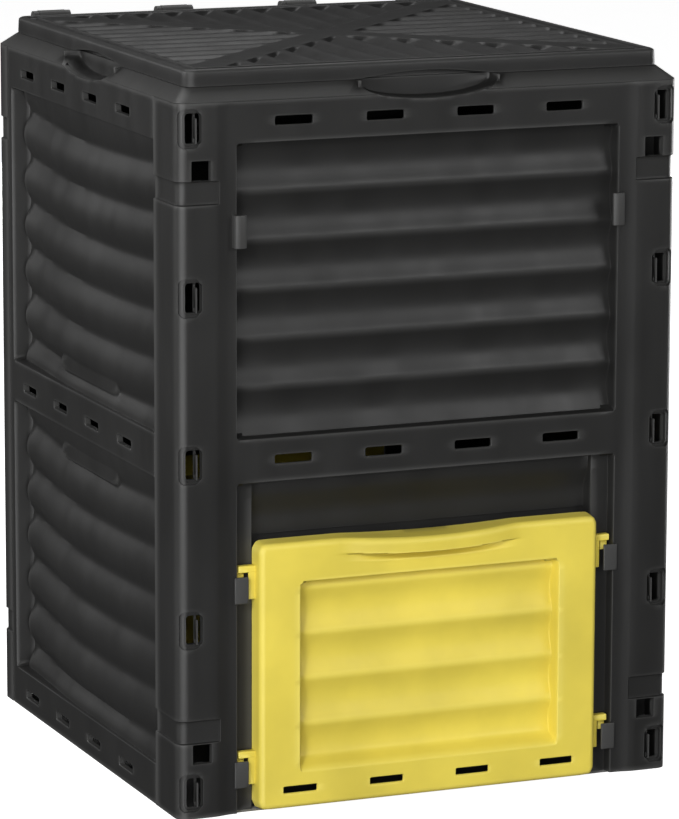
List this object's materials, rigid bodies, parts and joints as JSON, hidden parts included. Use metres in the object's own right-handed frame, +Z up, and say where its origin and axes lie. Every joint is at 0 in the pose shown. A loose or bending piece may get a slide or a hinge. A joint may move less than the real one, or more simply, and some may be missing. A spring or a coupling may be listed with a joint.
{
  "type": "panel compost bin",
  "caption": "Square static compost bin: four hooked wall panels, sloped collar, hinged lid and two lift-off doors at the foot.",
  "frame": {"origin": "centre of the footprint on the ground, bottom centre of the bounding box", "axes": "+Z up, the front with the door towards -Y, +X to the right seen from the front"},
  "size_m": [0.6, 0.644, 0.834],
  "materials": {
    "black_plastic": "satin moulded polypropylene",
    "lid_plastic": "satin moulded polypropylene with embossed ribs",
    "yellow_plastic": "satin moulded polypropylene, yellow",
    "clip_plastic": "satin moulded plastic"
  },
  "bodies": {
    "bin": {"front_wall": "black_plastic", "rear_wall": "black_plastic", "left_wall": "black_plastic", "right_wall": "black_plastic", "collar": "black_plastic", "front_parking_clip_left": "clip_plastic", "front_parking_clip_right": "clip_plastic", "rear_parking_clip_left": "clip_plastic", "rear_parking_clip_right": "clip_plastic", "hinge_pin_1": "clip_plastic", "hinge_pin_2": "clip_plastic", "hinge_pin_3": "clip_plastic", "hinge_pin_4": "clip_plastic"},
    "lid": {"lid": "lid_plastic"},
    "front_door": {"front_door": "yellow_plastic"},
    "rear_door": {"rear_door": "yellow_plastic"}
  },
  "joints": [
    {"name": "lid_hinge", "type": "hinge", "parent": "bin", "child": "lid", "pos_m": [0, 0.292, 0.826], "axis": [-1, 0, 0], "range_deg": [0, 105]},
    {"name": "front_door_lift", "type": "slide", "parent": "bin", "child": "front_door", "axis": [0, -0.342, 0.9397], "range_m": [0, 0.35]},
    {"name": "rear_door_lift", "type": "slide", "parent": "bin", "child": "rear_door", "axis": [0, 0.342, 0.9397], "range_m": [0, 0.35]}
  ]
}
